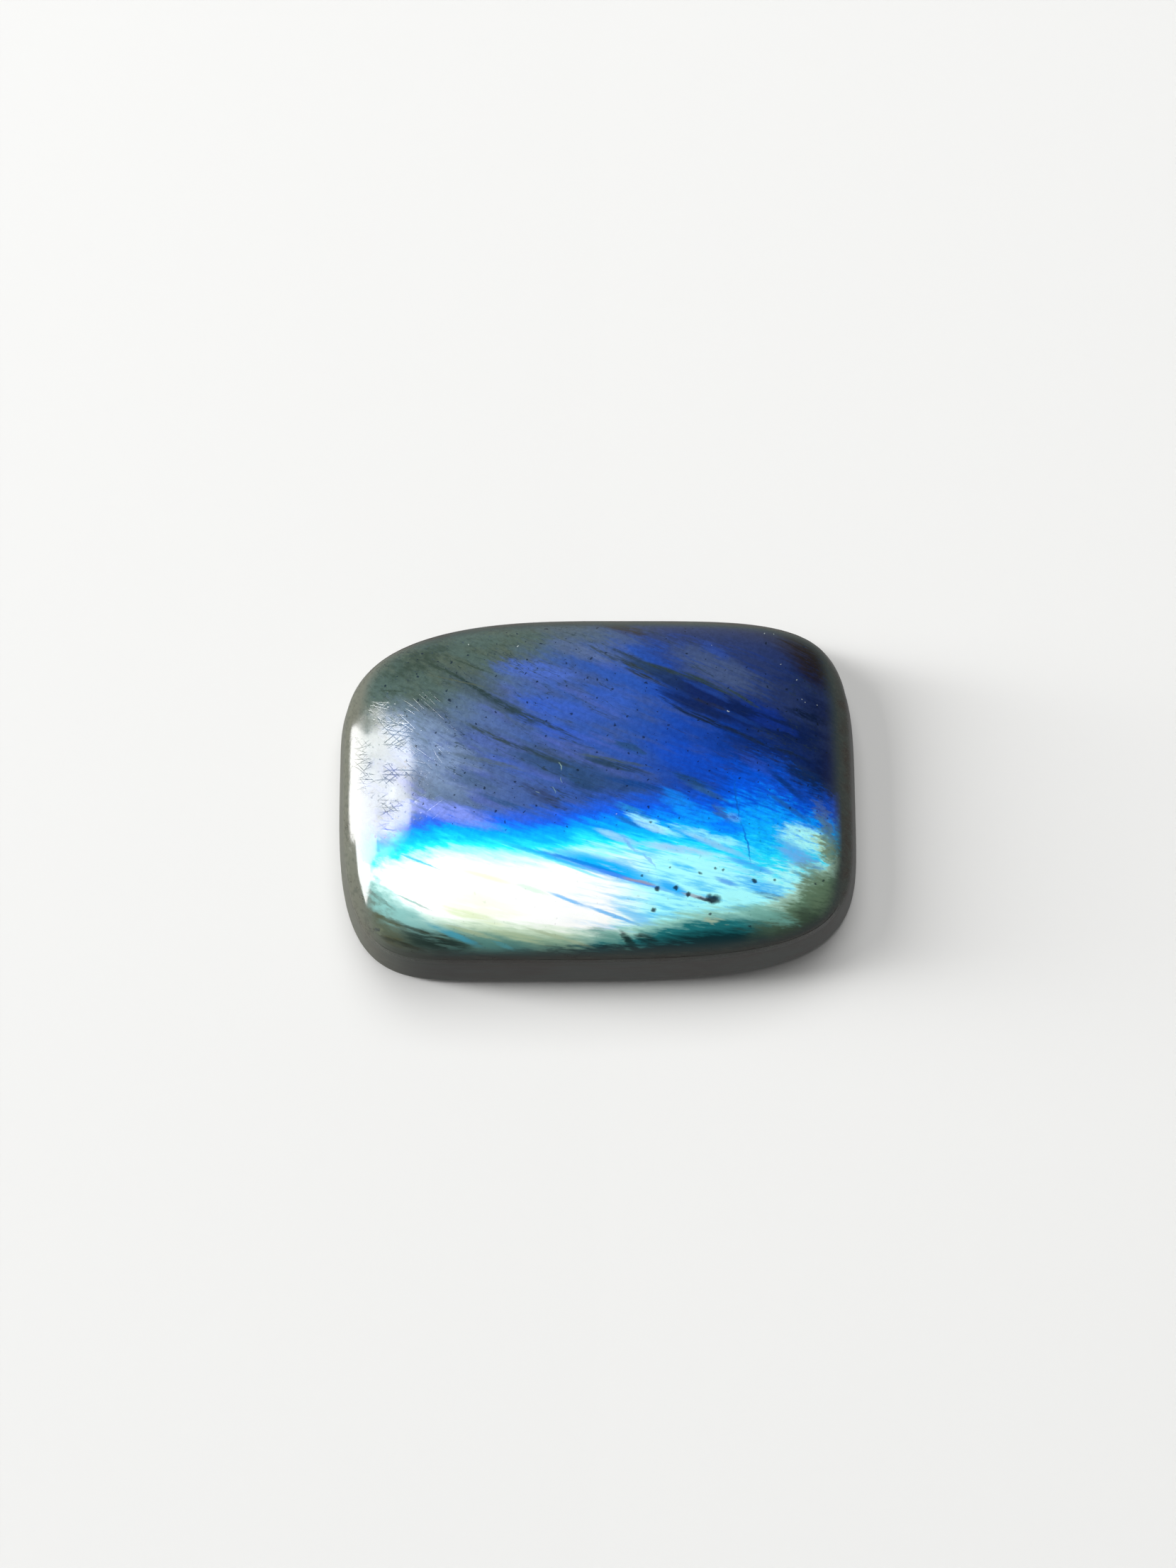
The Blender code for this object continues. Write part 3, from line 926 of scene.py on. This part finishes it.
tally("flash with its markings", tree)

# %% [markdown]
# ## Below the flash
#
# The near edge of the face leans away from the light. There the belt ends in sage green, then teal,
# then nearly black. How teal or olive it gets changes along the stone, so there are four ramps, and
# the place along the stone says which one counts. The border frays only half as much as the bands.

# %% Below the flash
PALE_SAGE = (0.28, 0.56, 0.46)
TEAL = (0.014, 0.165, 0.180)
DEEP_TEAL = (0.003, 0.030, 0.036)

place_y = put(tree, "SeparateXYZ", Vector=place).outputs["Y"]
calm_y = calc(tree, "MULTIPLY_ADD", calc(tree, "SUBTRACT", place_y, frayed_y), 0.5, frayed_y)
below = calc(tree, "SUBTRACT", calm_y, lower)
below = calc(tree, "MULTIPLY_ADD", calc(tree, "SUBTRACT", narrow, 0.5), 0.8, below)
shade = ramp(tree, below, [
    (-2.2, DEEP_TEAL, 1.0),
    (-1.3, DEEP_TEAL, 1.0),
    (-0.6, TEAL, 1.0),
    (0.0, PALE_SAGE, 0.85),
    (0.45, PALE_SAGE, 0.0),
])
left_shade = ramp(tree, below, [
    (-4.0, (0.065, 0.078, 0.050)),
    (-2.4, (0.070, 0.088, 0.060)),
    (-1.6, (0.095, 0.150, 0.125)),
    (-0.8, (0.180, 0.370, 0.350)),
    (0.0, (0.380, 0.640, 0.600)),
    (0.5, (0.380, 0.640, 0.600)),
])["Color"]
right_shade = ramp(tree, below, [
    (-3.5, (0.030, 0.045, 0.030)),
    (-1.8, (0.050, 0.085, 0.055)),
    (-0.8, (0.110, 0.200, 0.130)),
    (0.0, (0.360, 0.560, 0.430)),
    (0.5, (0.360, 0.560, 0.430)),
])["Color"]
olive_shade = ramp(tree, below, [
    (-2.6, (0.018, 0.036, 0.034)),
    (-1.6, (0.040, 0.120, 0.115)),
    (-0.9, (0.120, 0.260, 0.210)),
    (-0.3, (0.320, 0.480, 0.320)),
    (0.2, (0.620, 0.800, 0.580)),
    (0.5, (0.620, 0.800, 0.580)),
])["Color"]
shade_colour = mix(tree, spread(tree, frayed_x, 0.5, -2.5), shade["Color"], olive_shade)
shade_colour = mix(tree, spread(tree, frayed_x, -7.5, -11.0), shade_colour, left_shade)
shade_colour = mix(tree, spread(tree, frayed_x, 8.0, 11.5), shade_colour, right_shade)
colour = mix(tree, shade["Alpha"], colour, shade_colour)
tally("shade below the flash", tree)

# %% [markdown]
# ## Markings of the near edge
#
# Pale streaks still catch some light down there, between patches that are nearly black. The pale streaks
# and most patches are the last markings that the layers make; the two near-black patches along the rim are
# painted shade.

# %% Markings of the near edge
NEAR_PATCHES = [
    Marking((-14.2, -6.6), (-9.3, -9.2), 1.5, (0.19, 0.40, 0.38), 0.85),
    Marking((-14.6, -7.8), (-12.4, -10.4), 1.8, (0.13, 0.155, 0.10), 0.85),
    Marking((-10.2, -8.5), (-3.0, -10.2), 1.2, (0.05, 0.19, 0.19), 0.6, 0.0, 0.9),
    # Painted shade: a near-black patch at the near rim of the left end.
    Marking((-12.6, -9.0), (-6.4, -10.0), 1.7, (0.012, 0.024, 0.020), 0.95, 0.0, 0.9),
    Marking((-13.0, -8.9), (-11.6, -9.7), 0.6, (0.06, 0.055, 0.02), 0.85),
    Marking((-0.9, -8.8), (2.6, -9.9), 1.2, (0.1, 0.29, 0.25), 0.85),
    # Painted shade: a near-black strip along the whole near edge of the face, where it leans away from the
    # light.
    Marking((-7.0, -10.1), (12.4, -10.0), 1.0, (0.002, 0.025, 0.03), 0.95),
    Marking((7.5, -7.3), (12.0, -8.4), 1.2, (0.15, 0.38, 0.33), 0.8),
    Marking((11.8, -4.4), (14.8, -8.9), 2.6, (0.11, 0.18, 0.11), 0.9),
    Marking((5.9, -8.1), (7.7, -8.4), 0.6, (0.39, 0.49, 0.34), 0.8),
]
NEAR_VEINS = [
    Marking((-14.6, -5.6), (-11.6, -7.9), 0.26, (0.10, 0.17, 0.15), 0.8),
    Marking((-14.4, -8.6), (-9.6, -10.2), 0.30, (0.022, 0.026, 0.016), 0.9),
    Marking((-13.2, -7.9), (-8.4, -9.6), 0.26, (0.030, 0.040, 0.028), 0.85),
    Marking((-14.5, -7.1), (-10.8, -9.0), 0.30, (0.06, 0.07, 0.04)),
    Marking((-10.4, -8.3), (-6.5, -9.9), 0.50, (0.060, 0.28, 0.36), 1.0),
    Marking((-6.3, -9.4), (-4.7, -10.0), 0.30, (0.08, 0.30, 0.33), 0.8),
    Marking((-7.0, -8.7), (-2.3, -9.7), 0.50, (0.36, 0.47, 0.30), 0.85, 0.0, 0.9),
    Marking((-9.4, -8.4), (-5.4, -9.5), 0.30, (0.33, 0.42, 0.27), 0.8, 0.0, 0.9),
    Marking((-4.6, -8.6), (0.1, -9.9), 0.30, (0.36, 0.46, 0.30), 0.8, 0.0, 0.9),
    Marking((1.2, -8.8), (2.3, -9.9), 0.55, (0.006, 0.025, 0.025), 0.95),
    Marking((2.0, -9.1), (3.7, -9.5), 0.70, (0.006, 0.022, 0.024), 0.95),
    Marking((9.4, -9.3), (11.1, -9.8), 0.45, (0.002, 0.006, 0.03), 0.95),
]
colour = lay(tree, colour, frayed, wear, NEAR_PATCHES)
colour = lay(tree, colour, fine, wear, NEAR_VEINS)
print(len(NEAR_PATCHES), "patches and", len(NEAR_VEINS), "veins at the near edge")

# %% [markdown]
# ## Cracks and grains
#
# A few fine cracks run across the layers. Dark needles and plates of ore sit in every piece of this
# feldspar. The large ones have their own places, and the small ones are scattered as specks, mostly
# in the blue. A few bright dots are painted glints: tiny cleavage planes that mirror the light, drawn
# as pale colour. The short curved marks are nicks.

# %% Cracks and grains
INK = (0.004, 0.010, 0.024)
PAINTED_GLINT = (0.50, 0.58, 0.56)


def dots(colour, strength, radius, *middles):
    """Small round markings, all of one colour and size."""
    return [Marking((x - radius, y), (x + radius, y), 1.6 * radius, colour, strength) for x, y in middles]


CRACKS = [
    Marking((8.1, 0.3), (8.4, -2.6), 0.16, (0.003, 0.10, 0.50), 0.8, -0.10, 1.0),
    Marking((8.3, -2.2), (9.0, -5.2), 0.15, (0.003, 0.12, 0.60), 0.75, 0.12, 1.0),
    Marking((1.4, -3.2), (2.6, -4.6), 0.26, (0.16, 0.42, 0.82), 0.75, -0.20, 1.0),
    Marking((2.3, -4.4), (3.5, -5.5), 0.22, (0.16, 0.42, 0.82), 0.7, 0.15, 1.0),
]
GRAINS = dots(
    INK, 0.9, 0.22, (5.3, -6.8), (3.3, -7.7), (4.6, -6.45), (3.5, -6.5), (9.2, -6.0), (-13.1, -8.7),
)
GRAINS += dots(
    INK, 0.75, 0.13, (2.6, -5.8), (4.2, -5.3), (6.0, -5.6), (6.9, -5.3), (7.4, -5.4), (6.6, -7.9),
    (10.4, -5.9), (12.9, -6.0), (13.4, -5.8), (9.0, -8.6), (-12.3, -10.2), (3.1, -2.7),
)
GRAINS += dots(
    INK, 0.8, 0.12, (0.9, 5.5), (-1.6, 3.9), (-0.4, 7.5), (-0.6, 6.2), (-3.4, 8.6), (-3.1, 9.7),
    (-8.8, 7.4), (-7.8, 7.9), (-8.8, 4.9), (-10.6, 8.1), (-12.8, 6.1), (2.9, 5.9), (1.0, 3.2), (2.7, 2.4),
)
GRAINS += [
    Marking((6.2, -7.0), (7.4, -7.15), 0.75, INK, 0.95),
    Marking((5.6, -7.0), (6.9, -7.2), 0.25, INK, 0.8),
]
# Painted glints: pale dots where tiny cleavage planes mirror the light, and pale nicks.
PAINTED_GLINTS_AND_NICKS = dots(
    PAINTED_GLINT, 0.65, 0.05, (10.2, 9.4), (10.7, 9.4), (6.9, 8.5), (11.1, 7.3), (12.0, 6.4), (12.3, 5.2),
    (12.5, 5.0), (13.2, 4.9), (7.8, 4.2), (-7.8, 8.6), (-4.8, 8.4), (1.1, -2.2),
)
PAINTED_GLINTS_AND_NICKS += [
    Marking((-2.40, 0.95), (-2.15, 0.30), 0.09, (0.20, 0.32, 0.28), 0.7, 0.10),
    Marking((-2.20, 0.0), (-2.05, -0.35), 0.07, (0.18, 0.30, 0.26), 0.6, -0.06),
    Marking((-2.75, -0.6), (-2.48, -1.05), 0.08, (0.18, 0.30, 0.26), 0.6, 0.08),
    Marking((-3.75, -0.9), (-3.35, -1.0), 0.06, (0.22, 0.34, 0.34), 0.6, 0.04),
]
colour = lay(tree, colour, crumbly, 1.0, CRACKS + GRAINS + PAINTED_GLINTS_AND_NICKS)
scatter = use_group(tree, specks, Place=crumbly, Spacing=0.6, Size=0.16)["Mask"]
in_blue = spread(tree, depth, 0.4, -0.4, 0.15, 0.8)
colour = mix(tree, calc(tree, "MULTIPLY", scatter, in_blue), colour, INK)
print(len(CRACKS), "cracks,", len(GRAINS), "grains,", len(PAINTED_GLINTS_AND_NICKS), "pale dots and nicks")

# %% [markdown]
# ## Mottling
#
# Under a lens even a plain spot of feldspar is grainy. An even noise makes the colour a little darker
# and lighter. The white of the flash outshines it, so there it is nearly off.

# %% Mottling
mottle = spread(tree, grain, 0.30, 0.70, 0.88, 1.12)
mottle = calc(tree, "SUBTRACT", mottle, 1.0)
mottle = calc(tree, "MULTIPLY_ADD", mottle, spread(tree, depth, 0.9, -0.2, 0.1, 1.0), 1.0)
colour = vector_calc(tree, "SCALE", colour, mottle)
tally("mottling", tree)

# %% [markdown]
# ## Shoulder, wall and back
#
# The flash needs a surface that faces the camera and the light. On the shoulder and the wall it dies
# away, and the feldspar is dark and a little brown, with paler streaks. Towards the left end the wall
# is painted pale: painted light, where light comes through the rim. The ground back was never polished.
# Height tells these zones apart.

# %% Shoulder, wall and back
WALL_GREEN = (0.036, 0.046, 0.038)
WALL_BROWN = (0.034, 0.027, 0.019)
SHOULDER_TEAL = (0.026, 0.044, 0.042)
PAINTED_RIM_GLOW = (0.135, 0.140, 0.110)
WALL_STREAK = (0.052, 0.060, 0.048)
WALL_THREAD = (0.018, 0.016, 0.012)
GROUND_GREY = (0.10, 0.115, 0.10)

wall = mix(tree, spread(tree, broad, 0.35, 0.65), WALL_GREEN, WALL_BROWN)
wall = mix(tree, spread(tree, height, 4.2, 4.9), wall, SHOULDER_TEAL)
wall_x = put(tree, "SeparateXYZ", Vector=place).outputs["X"]
# Painted light: the wall grows pale towards the left end, where window light comes through the rim.
wall = mix(tree, spread(tree, wall_x, -9.0, -16.5, 0.0, 0.9), wall, PAINTED_RIM_GLOW)
wall = mix(tree, spread(tree, narrow, 0.45, 0.68, 0.0, 0.5), wall, WALL_STREAK)
wall = mix(tree, thread, wall, WALL_THREAD)
colour = mix(tree, spread(tree, height, 5.25, 4.55), colour, wall)
ground = spread(tree, height, 0.30, 0.10)
colour = mix(tree, ground, colour, GROUND_GREY)
feed(tree, surface.inputs["Base Color"], colour)
tally("colour of the whole stone", tree)

# %% [markdown]
# ## Scratches and pits
#
# The face is glassy, yet a worn stone carries fine scratches and pits. They hardly have a colour of
# their own, but they break up every mirrored edge, so they are cut into the surface as a bump. Most
# of them lie at the left end, where the stone is most worn. They run in three directions, in
# clusters, and tiny pits lie between them.

# %% Scratches and pits
WORN_END = Marking((-15.5, 2.0), (-6.5, 1.0), 12.0, INK, 1.0)
SCRATCH_SETS = ((0.75, 12.0, 0.42), (-0.60, 12.0, 0.40), (0.1, 14.0, 0.50))
BUMP_STRENGTH, BUMP_DISTANCE = 0.6, 1.2e-5

worn = lens_mask(tree, place, 1.0, WORN_END)
marred = spread(tree, worn, 0.0, 1.0, 0.15, 1.0)
cut = 0.0
for angle, length, width in SCRATCH_SETS:
    lines = use_group(tree, scratches, Place=place, Angle=angle, Length=length, Width=width)["Depth"]
    cut = calc(tree, "ADD", cut, lines)
clusters = put(tree, "TexNoise", Vector=place, Scale=0.5, Detail=2.0).outputs["Fac"]
clusters = spread(tree, clusters, 0.47, 0.60)
pits = use_group(tree, specks, Place=place, Spacing=0.42, Size=0.20)["Mask"]
cut = calc(tree, "MULTIPLY_ADD", cut, clusters, pits)
relief = calc(tree, "MULTIPLY_ADD", cut, -0.5, calc(tree, "MULTIPLY", grain, 0.35))
relief = calc(tree, "MULTIPLY", relief, marred)
bump = put(tree, "Bump", Height=relief, Strength=BUMP_STRENGTH, Distance=BUMP_DISTANCE)
feed(tree, surface.inputs["Normal"], bump.outputs["Normal"])
tally("scratches and pits", tree)

# %% [markdown]
# ## Polish
#
# Roughness tells the zones apart by their gloss: a glassy face, a duller worn end, a wall that was
# only half polished, and a matt back. The worn end adds to it, and for the wall and the back the
# larger value wins. Labradorite bends light a little more than window glass does, so its index of
# refraction is 1.56.

# %% Polish
LABRADORITE_IOR = 1.56

roughness = spread(tree, broad, 0.3, 0.7, 0.06, 0.10)
roughness = calc(tree, "MULTIPLY_ADD", worn, 0.07, roughness)
roughness = calc(tree, "MAXIMUM", roughness, spread(tree, height, 4.3, 3.5, 0.08, 0.40))
roughness = calc(tree, "MAXIMUM", roughness, calc(tree, "MULTIPLY", ground, 0.5))
feed(tree, surface.inputs["Roughness"], roughness)
surface.inputs["IOR"].default_value = LABRADORITE_IOR
stone.data.materials.append(finish)
tally("the whole finish", tree)

# %% [markdown]
# ## Floor
#
# The stone lies on a plain, pale floor. Only the camera and the soft light see it: a white floor
# mirrored in the wall would hide how dark this feldspar is at its edge, so the floor is left out of
# mirror reflections. A curved backdrop would do as well, but the camera looks almost straight down.

# %% Floor
FLOOR_RADIUS = 0.9
FLOOR_GREY = (0.66, 0.66, 0.65, 1)
FLOOR_ROUGHNESS = 0.9

bm = bmesh.new()
bmesh.ops.create_circle(bm, cap_ends=True, segments=128, radius=FLOOR_RADIUS)
floor_mesh = bpy.data.meshes.new("floor")
bm.to_mesh(floor_mesh)
bm.free()
floor = bpy.data.objects.new("floor", floor_mesh)
bpy.context.scene.collection.objects.link(floor)
floor_paint = bpy.data.materials.new("pale_floor")
floor_paint.use_nodes = True
floor_surface = floor_paint.node_tree.nodes["Principled BSDF"]
floor_surface.inputs["Base Color"].default_value = FLOOR_GREY
floor_surface.inputs["Roughness"].default_value = FLOOR_ROUGHNESS
floor_mesh.materials.append(floor_paint)
floor.visible_glossy = False
print("floor is", 2 * FLOOR_RADIUS, "m wide")

# %% [markdown]
# ## Camera
#
# The photo was taken from nearly overhead and from close by, tilted a little towards the near side,
# so that a strip of the near wall shows. Tilt, distance and aim were fitted until the outline of the
# render lay on the outline in the photo. Things closer than the near clip aren't drawn, and the stone
# is so close that the usual ten centimetres would be a risk.

# %% Camera
CAMERA_TILT = math.radians(11.76)
CAMERA_DISTANCE = 0.13164
CAMERA_AIM = Vector((-0.000574, 0.000303, 0.004))
LENS_MM, SENSOR_MM = 50, 36
NEAR_CLIP = 0.01

camera_data = bpy.data.cameras.new("camera")
camera_data.lens = LENS_MM
camera_data.sensor_width = SENSOR_MM
camera_data.clip_start = NEAR_CLIP
camera = bpy.data.objects.new("camera", camera_data)
toward_camera = Vector((0, -math.sin(CAMERA_TILT), math.cos(CAMERA_TILT)))
camera.location = CAMERA_AIM + CAMERA_DISTANCE * toward_camera
camera.rotation_euler = (CAMERA_TILT, 0, 0)
bpy.context.scene.collection.objects.link(camera)
bpy.context.scene.camera = camera
print("camera at, m:", [round(part, 4) for part in camera.location])

# %% [markdown]
# ## Light
#
# A glassy stone is drawn by what it mirrors. The long bright patch on the left shoulder is a window,
# one upright pane and one that leans, so two tall panels stand on the left. The even light on the
# face comes from a wide panel above. It is hidden from mirror reflections, or it would veil the
# colours. A lamp with a small source would light as well, but its mirror image is only a dot.

# %% Light


def panel(name, place, aim, size, radiance, glossy=True):
    """A soft panel of light. Its power follows from how bright its surface looks."""
    light = bpy.data.lights.new(name, "AREA")
    light.shape = "RECTANGLE"
    light.size, light.size_y = size
    light.energy = radiance * math.pi * size[0] * size[1]
    lamp = bpy.data.objects.new(name, light)
    lamp.location = place
    lamp.rotation_euler = (Vector(place) - Vector(aim)).to_track_quat("Z", "Y").to_euler()
    lamp.visible_glossy = glossy
    lamp.visible_camera = False
    bpy.context.scene.collection.objects.link(lamp)
    return lamp


WINDOW_DISTANCE = 1.0
WINDOW_RADIANCE, OVERHEAD_RADIANCE = 14.5, 5.0
UPRIGHT_MIDDLE, UPRIGHT_SIZE = (0.20, 0.68), (0.16, 1.36)
SLANTED_MIDDLE, SLANTED_SIZE = (0.24, 0.72), (0.28, 1.28)
SLANT = math.radians(-16.4)
OVERHEAD_PLACE, OVERHEAD_SIZE = (0.0, 0.6, 1.1), (0.9, 0.9)


def window_pane(name, middle, size):
    """A pane of the window on the left, facing straight to the right."""
    return panel(name, (-WINDOW_DISTANCE, *middle), (0, *middle), size, WINDOW_RADIANCE)


window_pane("window", UPRIGHT_MIDDLE, UPRIGHT_SIZE)
slanted = window_pane("slanted pane", SLANTED_MIDDLE, SLANTED_SIZE)
slanted.rotation_euler.rotate(Euler((SLANT, 0, 0)))
panel("overhead", OVERHEAD_PLACE, (0, 0, 0), OVERHEAD_SIZE, OVERHEAD_RADIANCE, glossy=False)
print("lights:", [(lamp.name, round(lamp.energy, 1)) for lamp in bpy.data.lights])

# %% [markdown]
# ## Surroundings
#
# Three kinds of ray see three different surroundings. The camera sees a pale backdrop. Mirror
# reflections see a dim studio, a little lighter at the horizon, so that the polish shows and the
# colours stay deep. Everything else gets a weak, even grey that fills the shadows.

# %% Surroundings
HORIZON, ZENITH = (0.3, 0.3, 0.3), (0.02, 0.02, 0.02)
DIM_FROM = 0.6
SOFT_FILL, BACKDROP = (0.15, 0.15, 0.15), (0.85, 0.85, 0.85)

world = bpy.data.worlds.new("studio")
world.use_nodes = True
tree = world.node_tree
direction = put(tree, "TexCoord").outputs["Generated"]
upward = put(tree, "SeparateXYZ", Vector=direction).outputs["Z"]
mirrored = ramp(tree, upward, [(0.0, HORIZON), (DIM_FROM, ZENITH)])["Color"]
ray = put(tree, "LightPath").outputs
shown = mix(tree, ray["Is Glossy Ray"], SOFT_FILL, mirrored)
shown = mix(tree, ray["Is Camera Ray"], shown, BACKDROP)
feed(tree, tree.nodes["Background"].inputs["Color"], shown)
bpy.context.scene.world = world
bpy.context.scene.view_settings.view_transform = "Standard"
tally("surroundings", tree)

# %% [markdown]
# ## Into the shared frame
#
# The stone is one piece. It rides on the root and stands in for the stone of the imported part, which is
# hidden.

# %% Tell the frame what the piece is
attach(stone, "root")
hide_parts("labradorite_stone")
